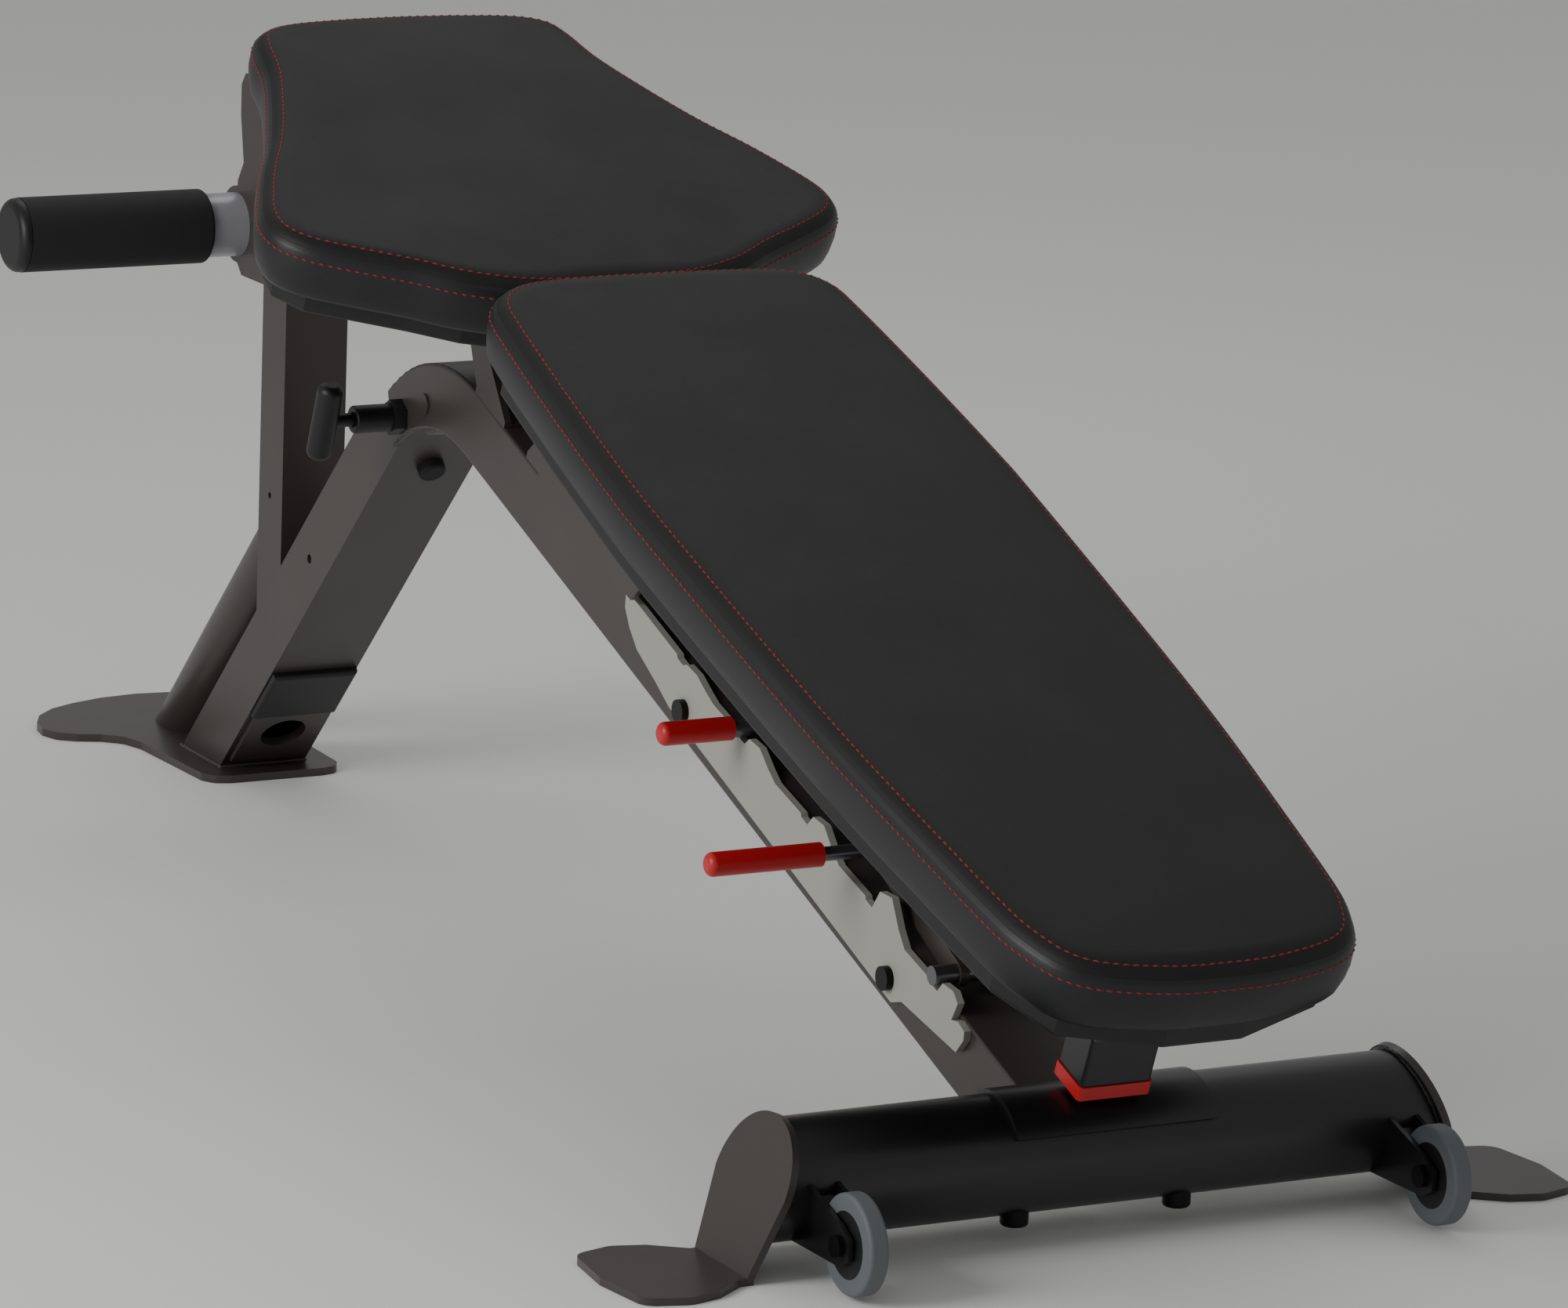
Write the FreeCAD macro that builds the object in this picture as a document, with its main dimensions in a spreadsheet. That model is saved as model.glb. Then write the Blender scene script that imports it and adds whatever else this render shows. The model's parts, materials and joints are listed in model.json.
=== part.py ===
import FreeCAD, Part
import math
import os
import Sketcher

# Decline sit up bench.  All sizes in mm, +Z up, +Y towards the front foot.
V = FreeCAD.Vector
doc = FreeCAD.newDocument("decline_sit_up_bench")
sheet = doc.addObject("Spreadsheet::Sheet", "Sizes")

SIZES = (
    ("rear_y", -674.25, "rear tube axis, along the bench"),
    ("tube_z", 54, "rear tube axis height"),
    ("tube_rad", 38.1, "rear tube outside radius"),
    ("wall", 3, "tube walls"),
    ("bend_x", 256.8, "end foot bend line from the centre plane"),
    ("foot_tilt", 20.2, "end foot lean from upright, degrees"),
    ("foot_round", 45, "end foot top radius"),
    ("foot_narrow", 34, "end foot half width at the bend"),
    ("foot_wide", 56, "floor lobe half width"),
    ("foot_reach", 80, "floor lobe reach beyond the bend"),
    ("sheet_thk", 5, "plate thickness"),
    ("slope", 19.83, "beam slope, degrees"),
    ("beam_y", -571.45, "beam origin, along the bench"),
    ("beam_z", 61.6, "beam origin height"),
    ("beam_half", 38.5, "beam half width"),
    ("beam_deep", 50.8, "beam depth"),
    ("arch_start", 788, "where the beam starts to arch over"),
    ("arch_rad", 147, "arch outside radius"),
    ("arch_inner", 122, "arch inside radius"),
    ("pitch", 97, "ladder notch spacing"),
    ("notch_one", 42, "first notch"),
    ("ladder_end", 519, "ladder front end"),
    ("rod_rad", 6.35, "lock rod radius"),
    ("pull_rad", 4.75, "pull rod radius"),
    ("grip_rad", 8, "grip radius"),
    ("tip_u", 664, "back hinge along the beam"),
    ("tip_v", 150, "back hinge above the beam"),
    ("link_u", 422.5, "strut hinge along the beam"),
    ("link_v", 98, "strut hinge above the beam"),
    ("bolster_v", 163, "underside of the back shroud"),
    ("shroud_thk", 19, "back shroud height"),
    ("cushion_thk", 40, "cushion height"),
    ("back_tail", -196, "head end of the back pad"),
    ("back_nose", 648, "hip end of the back pad"),
    ("back_half", 142.5, "back pad half width"),
    ("seat_u", 801, "seat hinge along the beam"),
    ("seat_v", 112, "seat hinge above the beam"),
    ("lever_u", 852, "seat strut hinge along the beam"),
    ("lever_v", 72, "seat strut hinge above the beam"),
    ("seat_base", 133, "underside of the seat shroud"),
    ("seat_near", 692.7, "near end of the seat"),
    ("seat_far", 1075, "far end of the seat"),
    ("seat_half", 215, "seat half width at the wings"),
    ("play", 0.05, "running clearance"),
    ("side_in", 46, "inner face of the carrier side plates"),
    ("carrier_thk", 4, "carrier plate thickness"),
    ("leg_y", 233.75, "leg hinge along the bench"),
    ("leg_z", 352, "leg hinge height"),
    ("leg_slope", 45.3, "leg slope, degrees"),
    ("leg_half", 35.1, "leg half width"),
    ("leg_near", 7, "leg near face from the hinge"),
    ("leg_deep", 50.8, "leg depth"),
    ("base_thk", 6, "front foot plate thickness"),
    ("base_front", 829.75, "front foot plate front edge"),
    ("base_wing", 114, "front foot plate half width"),
    ("post_near", 504.75, "post near face"),
    ("post_deep", 42, "post depth"),
    ("post_half", 25, "post half width"),
    ("post_top", 515, "post top height"),
    ("roller_y", 587.75, "roller axis, along the bench"),
    ("roller_z", 422, "roller axis height"),
    ("roller_rad", 23.8, "roller tube radius"),
    ("foam_rad", 27.7, "foam radius"),
    ("foam_from", 58, "foam inner end"),
    ("foam_to", 204, "foam outer end"),
    ("brace_rad", 24, "brace tube radius"),
    ("brace_off", 106.5, "brace tube axis from the leg hinge"),
    ("wheel_x", 206, "wheel centre from the centre plane"),
    ("wheel_back", 80, "wheel axle behind the rear tube axis"),
    ("wheel_z", 34.5, "wheel axle height"),
    ("wheel_rad", 31.7, "wheel radius"),
    ("wheel_half", 6.5, "wheel half width"),
    ("dock_rad", 17.5, "docking hole radius"),
    ("dock_at", 444.7, "docking hole along the leg"),
)


class Size:
    """A number together with the sheet expression it comes from."""

    def __init__(self, val, text=None):
        self.val = float(val)
        self.text = text if text else "(%.6f)" % float(val)

    def __add__(self, o):
        o = size(o)
        return Size(self.val + o.val, "(%s + %s)" % (self.text, o.text))

    def __sub__(self, o):
        o = size(o)
        return Size(self.val - o.val, "(%s - %s)" % (self.text, o.text))

    def __mul__(self, o):
        o = size(o)
        return Size(self.val * o.val, "(%s * %s)" % (self.text, o.text))

    def __truediv__(self, o):
        o = size(o)
        return Size(self.val / o.val, "(%s / %s)" % (self.text, o.text))

    def __radd__(self, o):
        return size(o) + self

    def __rsub__(self, o):
        return size(o) - self

    def __rmul__(self, o):
        return size(o) * self

    def __neg__(self):
        return size(0) - self


def size(x):
    return x if isinstance(x, Size) else Size(x)


def cosd(a):
    return Size(math.cos(math.radians(a.val)), "cos(%s * 1deg)" % a.text)


def sind(a):
    return Size(math.sin(math.radians(a.val)), "sin(%s * 1deg)" % a.text)


def root(a):
    return Size(math.sqrt(a.val), "sqrt(%s)" % a.text)


S = {}
for row, (alias, number, note) in enumerate(SIZES, start=1):
    sheet.set("A%d" % row, note)
    sheet.set("B%d" % row, str(number))
    sheet.setAlias("B%d" % row, alias)
    S[alias] = Size(number, "Sizes." + alias)
doc.recompute()

ROLE = {"XY": "XY_Plane", "YZ": "YZ_Plane", "XZ": "XZ_Plane"}
NODES = []


def bind(obj, prop, val):
    obj.setExpression(prop, size(val).text)


def place(obj, y=0, z=0, x=0, turn=None, sign=1):
    """Put an object at x, y, z and turn it about X by an angle from the sheet."""
    ang = size(turn if turn is not None else 0)
    rot = FreeCAD.Rotation(V(1, 0, 0), sign * ang.val)
    obj.Placement = FreeCAD.Placement(V(size(x).val, size(y).val, size(z).val), rot)
    for name, val in (("x", x), ("y", y), ("z", z)):
        if isinstance(val, Size):
            bind(obj, "Placement.Base." + name, val)
    if turn is not None:
        bind(obj, "Placement.Rotation.Angle", ang * sign)
    return obj


def on_beam(obj):
    return place(obj, S["beam_y"], S["beam_z"], 0, S["slope"])


def on_leg(obj):
    return place(obj, S["leg_y"], S["leg_z"], 0, S["leg_slope"], -1)


def new_body(name, where=None):
    body = doc.addObject("PartDesign::Body", name)
    body.Label = name
    if where:
        where(body)
    NODES.append(body)
    return body


def draw(body, plane, at, outline=None, rounds=()):
    """Sketch an outline (x, y[, radius, side]) and circles (x, y, r) on a plane."""
    n = len(body.Group)
    sk = body.newObject("Sketcher::SketchObject", body.Label + "_sketch%d" % n)
    for feat in body.Origin.OriginFeatures:
        if feat.Role == ROLE[plane]:
            sk.AttachmentSupport = (feat, "")
    sk.MapMode = "FlatFace"
    at = size(at)
    sk.AttachmentOffset = FreeCAD.Placement(V(0, 0, at.val), FreeCAD.Rotation())
    bind(sk, "AttachmentOffset.Base.z", at)
    rules = []
    if outline:
        pts = [(size(p[0]), size(p[1])) + tuple(p[2:]) for p in outline]
        ends = []
        for i, p in enumerate(pts):
            q = pts[(i + 1) % len(pts)]
            a = V(p[0].val, p[1].val, 0)
            b = V(q[0].val, q[1].val, 0)
            if len(p) > 2:
                rad = size(p[2])
                half = (b - a) * 0.5
                lift = math.sqrt(max(rad.val ** 2 - half.Length ** 2, 0.0))
                nrm = V(-half.y, half.x, 0)
                nrm.normalize()
                mid = a + half + nrm * (lift * p[3])
                ta = math.atan2(a.y - mid.y, a.x - mid.x)
                tb = math.atan2(b.y - mid.y, b.x - mid.x)
                circ = Part.Circle(mid, V(0, 0, 1), rad.val)
                if p[3] > 0:
                    geo = Part.ArcOfCircle(circ, ta, tb if tb > ta else tb + 2 * math.pi)
                    ends.append((1, 2))
                else:
                    geo = Part.ArcOfCircle(circ, tb, ta if ta > tb else ta + 2 * math.pi)
                    ends.append((2, 1))
                gid = sk.addGeometry(geo, False)
                rules.append(("Radius", (gid,), rad))
            else:
                gid = sk.addGeometry(Part.LineSegment(a, b), False)
                ends.append((1, 2))
        for i, p in enumerate(pts):
            j = (i + 1) % len(pts)
            sk.addConstraint(Sketcher.Constraint("Coincident", i, ends[i][1], j, ends[j][0]))
            rules.append(("DistanceX", (-1, 1, i, ends[i][0]), p[0]))
            rules.append(("DistanceY", (-1, 1, i, ends[i][0]), p[1]))
    for cx, cy, rad in rounds:
        cx, cy, rad = size(cx), size(cy), size(rad)
        gid = sk.addGeometry(Part.Circle(V(cx.val, cy.val, 0), V(0, 0, 1), rad.val), False)
        rules.append(("Radius", (gid,), rad))
        rules.append(("DistanceX", (-1, 1, gid, 3), cx))
        rules.append(("DistanceY", (-1, 1, gid, 3), cy))
    for kind, where, val in rules:
        k = sk.addConstraint(Sketcher.Constraint(kind, *(where + (val.val,))))
        if "Sizes." in val.text:
            sk.setExpression("Constraints[%d]" % k, val.text)
    return sk


def pad(body, plane, start, length, outline=None, rounds=()):
    sk = draw(body, plane, start, outline, rounds)
    feat = body.newObject("PartDesign::Pad", body.Label + "_pad%d" % len(body.Group))
    feat.Profile = sk
    feat.Length = size(length).val
    bind(feat, "Length", length)
    return feat


def cut(body, plane, start, length, outline=None, rounds=()):
    sk = draw(body, plane, size(start) + length, outline, rounds)
    feat = body.newObject("PartDesign::Pocket", body.Label + "_cut%d" % len(body.Group))
    feat.Profile = sk
    feat.Length = size(length).val
    bind(feat, "Length", length)
    return feat


def soften(body, rad, want):
    """Round the edges of the body's last feature that the test accepts."""
    doc.recompute()
    tip = body.Tip
    names = []
    for k, edge in enumerate(tip.Shape.Edges, start=1):
        if want(edge):
            names.append("Edge%d" % k)
    feat = body.newObject("PartDesign::Fillet", body.Label + "_round%d" % len(body.Group))
    feat.Base = (tip, names)
    feat.Radius = size(rad).val
    bind(feat, "Radius", rad)
    doc.recompute()
    return feat


def along(axis, lo=None, hi=None, key=None):
    """Test for straight edges along an axis of the body, optionally by centre."""
    def want(edge):
        if not isinstance(edge.Curve, (Part.Line, Part.LineSegment)):
            return False
        a = edge.Vertexes[0].Point
        b = edge.Vertexes[-1].Point
        d = b - a
        if d.Length < 1e-6 or abs(d[axis]) < 0.999 * d.Length:
            return False
        return key is None or key(edge.CenterOfMass)
    return want


def rim(level, axis, tol=0.01):
    """Test for edges that lie wholly in one plane across an axis."""
    def want(edge):
        box = edge.BoundBox
        lo = (box.XMin, box.YMin, box.ZMin)[axis]
        hi = (box.XMax, box.YMax, box.ZMax)[axis]
        return abs(lo - level) < tol and abs(hi - level) < tol
    return want


def mirror_pts(half):
    """Close a half outline listed from small y to large y about the centre plane."""
    right = list(half)
    left = [(-size(x), y) for x, y in reversed(right) if size(x).val != 0.0]
    return right + left


beam_half = S["beam_half"]
deep = S["beam_deep"]
wall = S["wall"]
thk = S["sheet_thk"]
slope = S["slope"]

# Rear cross tube, with its ends cut to the lean of the end feet
ty = S["rear_y"]
tz = S["tube_z"]
tilt = S["foot_tilt"]
lean = sind(tilt) / cosd(tilt)
face = S["bend_x"] - thk / cosd(tilt)
tube = new_body("rear_cross_tube", lambda b: place(b, ty, tz))
pad(tube, "YZ", -S["bend_x"], S["bend_x"] * 2, rounds=[(0, 0, S["tube_rad"])])
cut(tube, "YZ", -S["bend_x"] - 1, S["bend_x"] * 2 + 2, rounds=[(0, 0, S["tube_rad"] - wall)])
high = S["tube_rad"] + 6
for sgn in (1, -1):
    top = (face - lean * (tz + high)) * sgn
    low = (face - lean * (tz - high)) * sgn
    far = (S["bend_x"] + 20) * sgn
    ring = [(top, high), (low, -high), (far, -high), (far, high)]
    cut(tube, "XZ", -high, high * 2, ring)


def end_foot(name, sgn):
    body = new_body(name, lambda b: place(b, ty))
    half = S["foot_wide"]
    low = S["foot_narrow"]
    bx = S["bend_x"]
    fr = bx + S["foot_reach"]
    ring = [(bx - 7, -low), (bx + 2, -low), (bx + 24, -half + 6), (bx + 46, -half),
            (fr - 6, -half + 8), (fr, 0), (fr - 6, half - 8), (bx + 46, half),
            (bx + 24, half - 6), (bx + 2, low), (bx - 7, low)]
    ring = [(x * sgn, y) for x, y in ring]
    pad(body, "XY", 0, thk, ring)
    soften(body, 13, along(2, key=lambda c: abs(c.x) > bx.val + 30 and abs(c.y) > 30))
    # upright leaf, drawn on a plane that leans with the foot
    mid = tz / cosd(tilt)
    rad = S["foot_round"]
    start = Size(1.9)
    leaf = [(-low, start), (low, start), (rad, mid, rad, 1), (0, mid + rad, rad, 1), (-rad, mid)]
    sk = draw(body, "YZ", 0, leaf)
    ang = tilt * (-sgn)
    sk.AttachmentOffset = FreeCAD.Placement(
        V(0, 0, bx.val * sgn), FreeCAD.Rotation(V(1, 0, 0), -ang.val * -1))
    bind(sk, "AttachmentOffset.Base.z", bx * sgn)
    bind(sk, "AttachmentOffset.Rotation.Angle", ang)
    leaf_pad = body.newObject("PartDesign::Pad", name + "_leaf")
    leaf_pad.Profile = sk
    leaf_pad.Length = thk.val
    bind(leaf_pad, "Length", thk)
    leaf_pad.Reversed = sgn > 0
    doc.recompute()
    return body


end_foot("right_end_foot", 1)
end_foot("left_end_foot", -1)

# Main beam with the arch at its front end, in the beam's own frame
cu = S["arch_start"]
hub_v = deep - S["arch_rad"]
ar = S["arch_rad"]
ai = S["arch_inner"]
off_y = ty - S["beam_y"]
off_z = tz - S["beam_z"]
tube_u = off_y * cosd(slope) + off_z * sind(slope)
tube_v = off_z * cosd(slope) - off_y * sind(slope)
end_a = Size(30.6)
end_b = Size(33.0)
out_u = cu + ar * cosd(end_a)
out_v = hub_v + ar * sind(end_a)
in_u = cu + ai * cosd(end_b)
in_v = ai * sind(end_b) - ai
beam = new_body("main_beam", on_beam)
ring = [(tube_u, 0), (cu, 0, ai, -1), (in_u, in_v), (out_u, out_v, ar, 1), (cu, deep), (tube_u, deep)]
pad(beam, "YZ", -beam_half, beam_half * 2, ring)
arw = ar - wall
reach = Size(12)
arch_low = [(tube_u - 5, wall), (cu - 2, wall), (cu - 2, -60), (out_u + 30, -150),
            (cu + arw * cosd(reach), hub_v + arw * sind(reach), arw, 1), (cu, deep - wall),
            (tube_u - 5, deep - wall)]
cut(beam, "YZ", -(beam_half - wall), (beam_half - wall) * 2, arch_low)
cut(beam, "YZ", -beam_half - 1, beam_half * 2 + 2, rounds=[(tube_u, tube_v, S["tube_rad"])])
leg_dy = S["leg_y"] - S["beam_y"]
leg_dz = S["leg_z"] - S["beam_z"]
leg_u = leg_dy * cosd(slope) + leg_dz * sind(slope)
leg_v = leg_dz * cosd(slope) - leg_dy * sind(slope)
cut(beam, "YZ", -beam_half - 1, beam_half * 2 + 2, rounds=[(leg_u, leg_v, S["rod_rad"])])
# the pop pin's place, counted from the leg hinge in the leg's frame
lock_s = Size(38.8)
lock_c = Size(16.4)
la = S["leg_slope"]
lock_y = leg_dy + lock_s * cosd(la) + lock_c * sind(la)
lock_z = leg_dz - lock_s * sind(la) + lock_c * cosd(la)
pin_u = lock_y * cosd(slope) + lock_z * sind(slope)
pin_v = lock_z * cosd(slope) - lock_y * sind(slope)
cut(beam, "YZ", -beam_half - 1, wall + 2, rounds=[(pin_u, pin_v, 5)])
soften(beam, 2.5, along(1, key=lambda c: abs(c.x) > 38))

# Saddle plate round the tube where the beam meets it
sad = new_body("beam_saddle", lambda b: place(b, ty, tz))
ri = S["tube_rad"]
ro = ri + wall
sa = Size(62)
sb = Size(152)
ring = [(ri * cosd(sa), ri * sind(sa)), (ro * cosd(sa), ro * sind(sa), ro, 1),
        (ro * cosd(sb), ro * sind(sb)), (ri * cosd(sb), ri * sind(sb), ri, -1)]
pad(sad, "YZ", -71, 142, ring)


def stud(name, plane, y, z, start, length, rad, where=None):
    """A plain round head or pin along X."""
    body = new_body(name, where)
    pad(body, plane, start, length, rounds=[(y, z, rad)])
    return body


def bolts(name, spots, start, length, rad, where):
    """Several round bolt heads as one node."""
    parts = []
    for k, (u, v) in enumerate(spots):
        cyl = doc.addObject("Part::Cylinder", "%s_%d" % (name, k + 1))
        a = V(size(start).val, size(u).val, size(v).val)
        cyl.Placement = FreeCAD.Placement(a, FreeCAD.Rotation(V(0, 1, 0), 90))
        bind(cyl, "Placement.Base.x", start)
        bind(cyl, "Placement.Base.y", u)
        bind(cyl, "Placement.Base.z", v)
        bind(cyl, "Radius", rad)
        bind(cyl, "Height", length)
        parts.append(cyl)
    fuse = doc.addObject("Part::MultiFuse", name)
    fuse.Label = name
    fuse.Shapes = parts
    where(fuse)
    NODES.append(fuse)
    return fuse


# Round bolt heads under the tube
for name, sx in (("left_tube_bolt", -58), ("right_tube_bolt", 58)):
    b = new_body(name, lambda o, sx=sx: place(o, ty, tz, Size(sx)))
    pad(b, "XY", -S["tube_rad"] - 5, 12, rounds=[(0, -12, 9)])
    cut(b, "YZ", -12, 24, rounds=[(0, 0, S["tube_rad"])])
    soften(b, 2.4, rim(-S["tube_rad"].val - 5, 2))

# Ladder plates with a hook for each rod setting
pitch = S["pitch"]
n0 = S["notch_one"]
teeth = (5, 9.5, 12.5, 21)
ring = [(-1.8, 43), (3.6, 30.5), (76.4, 19), (88.7, 10.5), (115, 11), (384, 13.7), (432, 15),
        (457, 20), (489, 25), (505, 33), (516, 42), (S["ladder_end"], 53.6), (500, 54.3)]
for k in (4, 3, 2, 1):
    nu = n0 + pitch * k
    h = Size(teeth[4 - k])
    ring += [(nu + 6.6, 54.3), (nu + 5, 52.2), (nu - 4, 52.2), (nu - 9, 52 + h * 0.75),
             (nu - 24, 52 + h), (nu - 40, 52 + h * 0.35), (nu - 52, 52)]
ring += [(n0 + 7, 54.3), (n0 + 5, 52.2), (n0 - 2, 52.2), (n0 - 6, 61), (n0 - 20, 64.2), (n0 - 28, 60),
         (n0 - 25, 46), (9, 50), (-0.3, 48.8)]
for name, start in (("left_ladder_plate", -beam_half - thk), ("right_ladder_plate", beam_half)):
    lad = new_body(name, on_beam)
    pad(lad, "YZ", start, thk, ring)
spots = [(413, 24.5), (98, 23)]
bolts("left_ladder_bolts", spots, -beam_half - thk - 5, 5, 8, on_beam)
bolts("right_ladder_bolts", spots, beam_half + thk, 5, 8, on_beam)

# Brackets on top of the beam that carry the back and seat hinges
hu = S["tip_u"]
hv = S["tip_v"]
su = S["seat_u"]
sv = S["seat_v"]
hinge_rad = Size(8)
for name, cu0, cv0, back, front, rad in (("back_hinge_bracket", hu, hv, 24, 34, 13),
                                         ("seat_hinge_bracket", su, sv, 64, -14, 14)):
    br = new_body(name, on_beam)
    rad = Size(rad)
    low = [(cu0 - back, deep), (cu0 + front, deep), (cu0 + front, deep + 5), (cu0 + rad, deep + 36),
           (cu0 + rad, cv0, rad, 1), (cu0, cv0 + rad, rad, 1), (cu0 - rad, cv0),
           (cu0 - rad, deep + 40), (cu0 - back, deep + 5)]
    pad(br, "YZ", -beam_half, thk, low)
    pad(br, "YZ", beam_half - thk, thk, low)
    base = [(cu0 - back, deep), (cu0 + front, deep), (cu0 + front, deep + 3), (cu0 - back, deep + 3)]
    pad(br, "YZ", -beam_half, beam_half * 2, base)
    cut(br, "YZ", -beam_half - 1, beam_half * 2 + 2, rounds=[(cu0, cv0, hinge_rad + S["play"])])

# Leg hinge pin through the arch and the pop pin's housing on its left wall
pin = new_body("leg_hinge_pin", on_beam)
pad(pin, "YZ", -beam_half, beam_half * 2, rounds=[(leg_u, leg_v, S["rod_rad"])])
pad(pin, "YZ", -beam_half - 1.5, 1.5, rounds=[(leg_u, leg_v, 8)])
pad(pin, "YZ", beam_half, 1.5, rounds=[(leg_u, leg_v, 8)])
hous = new_body("pop_pin_housing", on_beam)
flat = Size(13)
hexa = []
for k in range(6):
    a = Size(60 * k + 10)
    hexa.append((pin_u + flat * cosd(a), pin_v + flat * sind(a)))
pad(hous, "YZ", -beam_half - 9.5, 9.5, hexa)
pad(hous, "YZ", -beam_half - 38, 29, rounds=[(pin_u, pin_v, 10)])
cut(hous, "YZ", -beam_half - 40, 42, rounds=[(pin_u, pin_v, 5)])
soften(hous, 1.5, rim(-beam_half.val - 38, 0))
plug = new_body("pop_pin_shaft")
pad(plug, "YZ", -98, 62, rounds=[(pin_u, pin_v, 4.95)])
bar = doc.addObject("Part::Cylinder", "pop_pin_bar")
bind(bar, "Radius", 9.3)
bind(bar, "Height", 60)
tb = Size(19)
bar.Placement = FreeCAD.Placement(V(-98, 0, 0), FreeCAD.Rotation(V(1, 0, 0), 0))
bind(bar, "Placement.Base.y", pin_u)
bind(bar, "Placement.Base.z", pin_v - 30)
tee = doc.addObject("Part::Fillet", "pop_pin_tee")
doc.recompute()
tee.Base = bar
tee.Edges = [(k + 1, 6.0, 6.0) for k, e in enumerate(bar.Shape.Edges) if isinstance(e.Curve, Part.Circle)]
NODES.remove(plug)
pop = doc.addObject("Part::MultiFuse", "pop_pin")
pop.Label = "pop_pin"
pop.Shapes = [plug, tee]
on_beam(pop)
NODES.append(pop)

# Transport wheels with their brackets and axles
wy = -S["wheel_back"]
wz = S["wheel_z"] - tz
for side, sgn in (("right", 1), ("left", -1)):
    wx = S["wheel_x"] * sgn
    here = lambda o, wx=wx: place(o, ty, tz, wx)
    br = new_body(side + "_wheel_bracket", here)
    ear = [(-18, -33.5), (wy, wz - 13), (wy - 11, wz - 7), (wy - 12, wz + 6), (wy, wz + 13), (-28, 10)]
    link = [(-20, -33.5), (-45.5, -25), (-45.5, -6), (-30, 5)]
    gap = S["wheel_half"] + 1.5
    pad(br, "YZ", gap, 3, ear)
    pad(br, "YZ", -gap - 3, 3, ear)
    pad(br, "YZ", -gap - 3, gap * 2 + 6, link)
    cut(br, "YZ", -gap - 4, gap * 2 + 8, rounds=[(0, 0, S["tube_rad"])])
    cut(br, "YZ", -gap - 4, gap * 2 + 8, rounds=[(wy, wz, 4)])
    ax = new_body(side + "_wheel_axle", here)
    pad(ax, "YZ", -gap - 3, gap * 2 + 6, rounds=[(wy, wz, 4)])
    pad(ax, "YZ", gap + 3, 4, rounds=[(wy, wz, 7)])
    pad(ax, "YZ", -gap - 7, 4, rounds=[(wy, wz, 7)])
    hub = new_body(side + "_wheel_hub", here)
    wh = S["wheel_half"]
    pad(hub, "YZ", -wh, wh * 2, rounds=[(wy, wz, 21)])
    cut(hub, "YZ", -wh - 1, wh * 2 + 2, rounds=[(wy, wz, 4 + S["play"])])
    tyre = new_body(side + "_wheel_tyre", here)
    pad(tyre, "YZ", -wh, wh * 2, rounds=[(wy, wz, S["wheel_rad"])])
    soften(tyre, 2.5, lambda e: True)
    cut(tyre, "YZ", -wh - 1, wh * 2 + 2, rounds=[(wy, wz, 21)])

# Front leg in its own frame: +Y down the leg, +Z out of its far face
near = S["leg_near"]
far = near + S["leg_deep"]
lh = S["leg_half"]
ca = cosd(la)
sa = sind(la)
drop = S["base_thk"] - S["leg_z"]


def floor_at(c):
    """Distance down the leg at which offset c meets the foot plate."""
    return (c * ca - drop) / sa


tongue = Size(22)
tip = Size(105)
leg = new_body("front_leg", on_leg)
meet = root(tongue * tongue - near * near)
ring = [(floor_at(near), near), (floor_at(far), far), (111, far), (52.8, 37.8), (38, 35.6), (15.4, 29.8),
        (tongue * cosd(tip), tongue * sind(tip), tongue, 1), (-tongue, 0, tongue, 1),
        (0, -tongue, tongue, 1), (meet, near)]
pad(leg, "YZ", -lh, lh * 2, ring)
ring = [(64, near + wall), (640, near + wall), (640, far - wall), (120, far - wall), (64, 33)]
cut(leg, "YZ", -lh + wall, (lh - wall) * 2, ring)
cut(leg, "YZ", -lh - 1, lh * 2 + 2, rounds=[(0, 0, S["rod_rad"] + S["play"])])
cut(leg, "YZ", -lh - 1, 11, rounds=[(lock_s, lock_c, 5.3)])
cut(leg, "YZ", -lh - 1, 5, rounds=[(248, 33, 3.5)])
cut(leg, "XY", near - 1, wall + 2, rounds=[(0, S["dock_at"], S["dock_rad"])])
bump = new_body("leg_bumper", on_leg)
pad(bump, "XY", near - 8, 8, rounds=[(0, 91.2, 10)])
soften(bump, 2.5, rim(near.val - 8, 2))
dock = new_body("docking_plate", on_leg)
ring = [(-31, 419), (31, 419), (31, 481), (-31, 481)]
pad(dock, "XY", near - 4, 4, ring, [(0, S["dock_at"], S["dock_rad"])])
cap = new_body("docking_cap", on_leg)
ring = [(-34, 363), (34, 363), (34, 419), (-34, 419)]
pad(cap, "XY", near - 6, 6, ring)
soften(cap, 3, rim(near.val - 6, 2))

foot = new_body("front_foot_plate")
bf = S["base_front"]
bw = S["base_wing"]
half = [(38, bf - 273), (50, bf - 269), (56, bf - 258), (58, bf - 200), (60, bf - 150), (66, bf - 130),
        (79, bf - 118), (96, bf - 111), (bw - 5, bf - 101), (bw, bf - 84), (bw - 3, bf - 66),
        (bw - 14, bf - 44), (bw - 32, bf - 26), (60, bf - 14), (32, bf - 4), (0, bf)]
pad(foot, "XY", 0, S["base_thk"], mirror_pts(half))
soften(foot, 9, along(2, key=lambda c: abs(c.x) > 30))

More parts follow.
